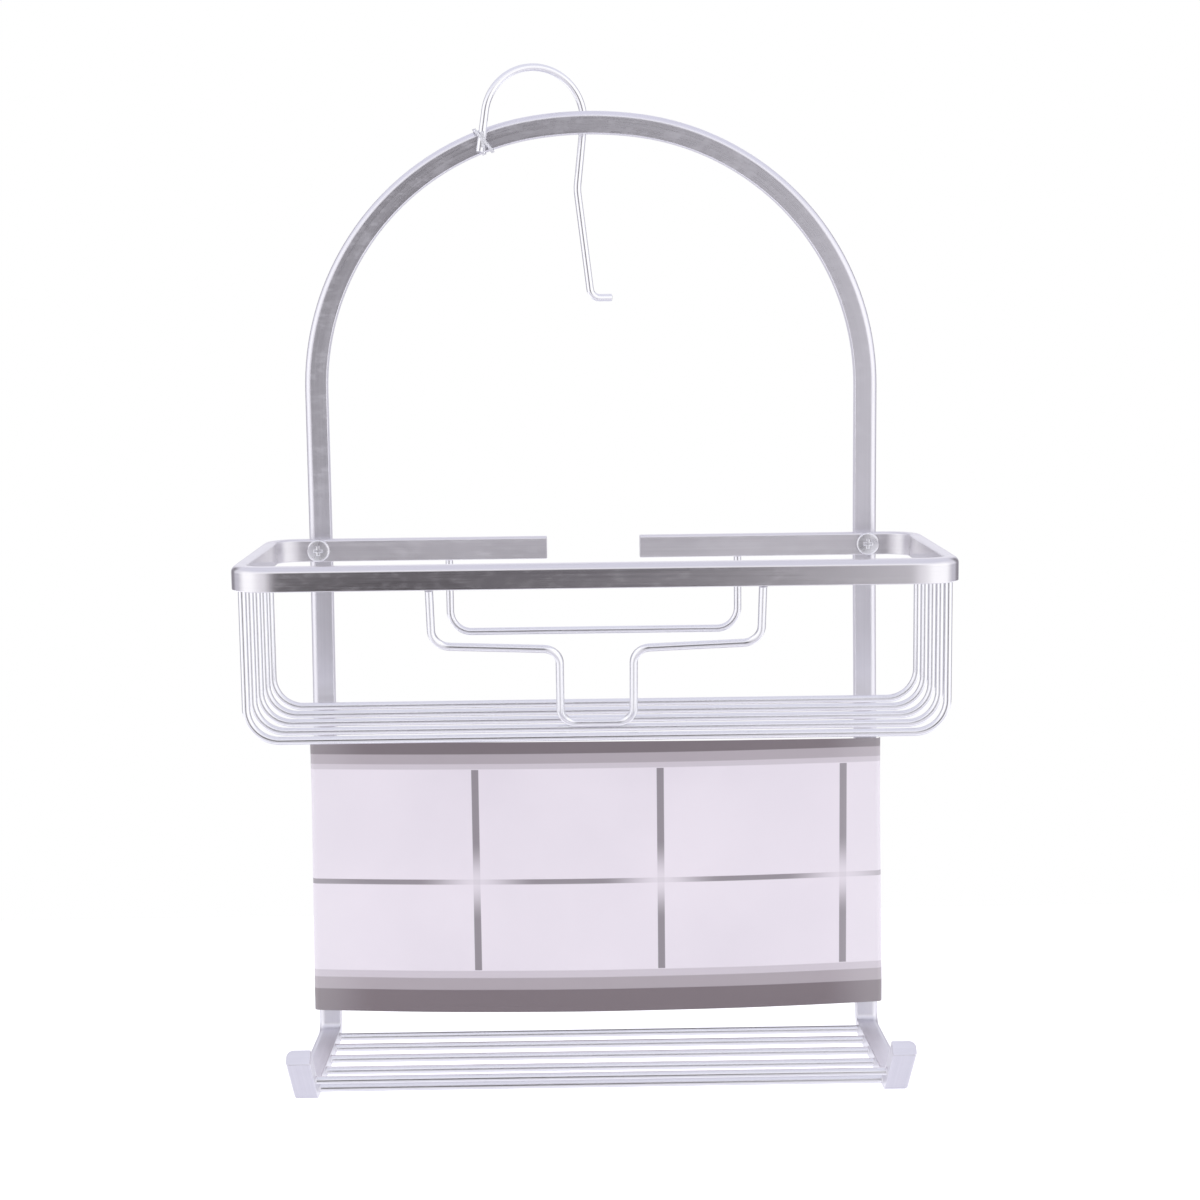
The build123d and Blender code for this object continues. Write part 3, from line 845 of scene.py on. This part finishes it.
def card_sleeve():
    """A folded band of card round both uprights, its front swelling forward."""
    samples = []                       # plan outline: x, y, distance along the print
    r = 1.8 + CARD_T

    def corner(cx, cy, start, n=5):
        for k in range(n + 1):
            ang = math.radians(start + 90 * k / n)
            samples.append((cx + r * math.cos(ang), cy + r * math.sin(ang)))

    x_out, back, front = CARD_X + CARD_T, CARD_BACK + CARD_T, CARD_FRONT - CARD_T
    n = 60
    for k in range(n + 1):             # front panel, left to right
        t = -1 + 2 * k / n
        x = t * (x_out - r)
        bow = CARD_BOW * (1 - t * t)
        samples.append((x, front - bow))
    corner(x_out - r, front + r, -90)
    corner(x_out - r, back - r, 0)
    for k in range(1, 24):
        x = (x_out - r) * (1 - 2 * k / 24)
        samples.append((x, back + 0.15 * math.sin(k * 0.9)))
    corner(-(x_out - r), back - r, 90)
    corner(-(x_out - r), front + r, 180)
    samples = samples[:-1]
    count = len(samples)
    rows = 14
    verts, faces, uvs, sides = [], [], [], []
    layers = []
    rng = random.Random(4)
    waves = [(rng.uniform(2, 5), rng.uniform(0, 6.28), rng.uniform(0.04, 0.10)) for _ in range(4)]
    for inward in (0.0, CARD_T):
        start = len(verts)
        for j in range(rows + 1):
            v = j / rows
            for i, (x, y) in enumerate(samples):
                px, py = samples[i - 1]
                qx, qy = samples[(i + 1) % count]
                tx, ty = qx - px, qy - py
                size = math.hypot(tx, ty)
                nx, ny = ty / size, -tx / size
                wave = sum(a * math.sin(f * x / 60 + p + v * 1.7) for f, p, a in waves)
                free = max(0.0, 1 - (abs(x) / CARD_X) ** 4) if y < 0 else 0.0
                low, top = CARD_LOW, CARD_TOP
                if y < 0:          # the front's lower edge sags and its upper edge tilts
                    low += 1.8 - 1.9 * (1 - (x / CARD_X) ** 2)
                    top += 0.3 - 0.006 * x
                else:
                    top -= 3.0
                z = low + (top - low) * v
                # It widens downwards, to go round the uprights' spread.
                flare = 1 + 0.0105 * max(0.0, min(1.0, (-0.315 - z * MM) / 0.095))
                verts.append(vec((x - nx * inward) * flare, y - ny * inward + wave * free, z))
        layers.append(start)
    outer, inner = layers

    def quad(*corners):
        faces.append(corners)
        uvs.append([(verts[k].x, verts[k].z) for k in corners])

    for j in range(rows):
        here, above = j * count, (j + 1) * count
        for i in range(count):
            k = (i + 1) % count
            quad(outer + here + i, outer + here + k, outer + above + k, outer + above + i)
            quad(inner + here + k, inner + here + i, inner + above + i, inner + above + k)
    top_row = rows * count
    for i in range(count):
        k = (i + 1) % count
        quad(outer + i, inner + i, inner + k, outer + k)
        quad(outer + top_row + k, inner + top_row + k, inner + top_row + i, outer + top_row + i)
    obj = build("card_sleeve_print", verts, None, faces, uvs, None, card_material())
    attribute = obj.data.attributes.new("print_side", "FLOAT", "POINT")
    attribute.data.foreach_set("value", [1.0] * inner + [0.0] * (len(verts) - inner))
    obj.data.set_sharp_from_angle(angle=math.radians(40))
    return obj


card = card_sleeve()
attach(card, "sleeve")
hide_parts("card_sleeve")

# =====================================================================
# Floor, light and camera
# =====================================================================
def floor():
    """A pale floor far below and behind, which fades into the white backdrop."""
    mesh = bpy.data.meshes.new("studio_floor")
    s, near, z = 7.0, -0.9, -2.4
    mesh.from_pydata([(-s, near, z), (s, near, z), (s, s, z), (-s, s, z)], [], [(0, 1, 2, 3)])
    m = Nodes("pale_floor")
    place = m.add("ShaderNodeTexCoord").outputs["Object"]
    reach = m.add("ShaderNodeVectorMath", operation="DISTANCE")
    m.link(place, reach.inputs[0])
    reach.inputs[1].default_value = (0.0, 1.6, z)
    far = m.range(reach.outputs["Value"], 0.9, 2.4, 0.0, 1.0, True)
    pale = m.mix(m.noise(place, 3.0), (0.79, 0.78, 0.84), (0.82, 0.81, 0.87))
    m.link(m.mix(far, pale, (0.95, 0.95, 0.95)), m.shader.inputs["Base Color"])
    m.link(m.math("MULTIPLY", far, 0.40), m.shader.inputs["Emission Strength"])
    m.shader.inputs["Roughness"].default_value = 0.9
    m.shader.inputs["Emission Color"].default_value = (1.0, 1.0, 0.97, 1.0)
    mesh.materials.append(m.material)
    obj = bpy.data.objects.new("studio_floor", mesh)
    bpy.context.scene.collection.objects.link(obj)


floor()


def studio_light():
    """A white light tent, with a dim opening in front and two grey panels behind."""
    world = bpy.data.worlds.new("light_tent")
    bpy.context.scene.world = world
    world.use_nodes = True
    world.node_tree.nodes.clear()
    g = Graph(world.node_tree)
    split = g.add("ShaderNodeSeparateXYZ")
    g.link(g.add("ShaderNodeTexCoord").outputs["Generated"], split.inputs[0])

    def ramp(value, low, high, a, b):
        return g.range(value, low, high, a, b, smooth=True)

    x, y, z = split.outputs
    # The tent's walls in front, its dimmer far side behind the caddy, and a cooler ceiling.
    behind = g.mix(ramp(z, -0.10, 0.08, 0, 1), (0.66, 0.645, 0.72), (0.91, 0.90, 0.98))
    white = g.mix(ramp(y, -0.30, 0.25, 0, 1), (1.28, 1.28, 1.30), behind)
    white = g.mix(ramp(z, 0.25, 0.85, 0, 1), white, (0.84, 0.84, 0.95))
    white = g.mix(ramp(z, -0.22, -0.55, 0, 1), white, (0.82, 0.80, 0.88))
    # The dim opening in front, a tall one: how far a direction is from straight ahead.
    forward = g.math("MAXIMUM", g.math("MULTIPLY", y, -1.0), 0.02)
    ahead = g.math("ADD", g.math("DIVIDE", x, forward), 0.02)
    left = g.math("LESS_THAN", ahead, 0.0)
    leftward = g.math("SUBTRACT", 1.0, g.math("MULTIPLY", left, 0.36))
    aside = g.math("MULTIPLY", g.math("ABSOLUTE", ahead), leftward)
    color = g.mix(ramp(aside, 0.05, 0.25, 0, 1), (0.055, 0.048, 0.052), (0.90, 0.88, 0.93))
    low = ramp(z, -0.46, -0.20, 0.0, 1.0)
    high = ramp(z, 0.20, 0.48, 1.0, 0.0)
    front = ramp(y, -0.30, -0.10, 1.0, 0.0)
    opening = g.math("MULTIPLY", ramp(aside, 0.20, 0.85, 1.0, 0.0), front)
    opening = g.math("MULTIPLY", opening, g.math("MULTIPLY", low, high))
    color = g.mix(opening, white, color)
    # Two grey panels behind, one on each side.
    across = g.math("DIVIDE", g.math("ABSOLUTE", x), g.math("MAXIMUM", y, 0.02))
    panel = g.math("MULTIPLY", ramp(across, 0.35, 0.75, 0.0, 1.0), ramp(across, 1.1, 2.0, 1.0, 0.0))
    panel = g.math("MULTIPLY", panel, ramp(g.math("ABSOLUTE", z), 0.35, 0.65, 1.0, 0.0))
    color = g.mix(panel, color, (0.30, 0.285, 0.32))
    # Seen directly, the tent is a plain white backdrop.
    seen = g.add("ShaderNodeLightPath").outputs["Is Camera Ray"]
    color = g.mix(seen, color, (1.0, 1.0, 1.0))
    back = g.add("ShaderNodeBackground", Strength=1.0)
    g.link(color, back.inputs["Color"])
    g.link(back.outputs[0], g.add("ShaderNodeOutputWorld").inputs["Surface"])


studio_light()


def camera():
    """The viewpoint, fitted to the caddy's own lines: 1 m in front, 7.6 degrees down."""
    data = bpy.data.cameras.new("camera")
    data.sensor_width = 36.0
    data.lens = 62.68
    data.clip_start = 0.01
    obj = bpy.data.objects.new("camera", data)
    bpy.context.scene.collection.objects.link(obj)
    yaw, pitch, roll = (math.radians(v) for v in (-0.652, -7.638, 0.681))
    turn = Matrix.Rotation(yaw, 3, "Z") @ Matrix.Rotation(pitch, 3, "X")
    turn = turn @ Matrix.Rotation(roll, 3, "Y")
    right, ahead, up = turn.col[0], turn.col[1], turn.col[2]
    view = Matrix((right, up, -ahead)).transposed().to_4x4()
    view.translation = vec(-8.364, -992.645, -85.800) * MM
    obj.matrix_world = view
    bpy.context.scene.camera = obj


camera()
bpy.context.scene.view_settings.view_transform = "Standard"
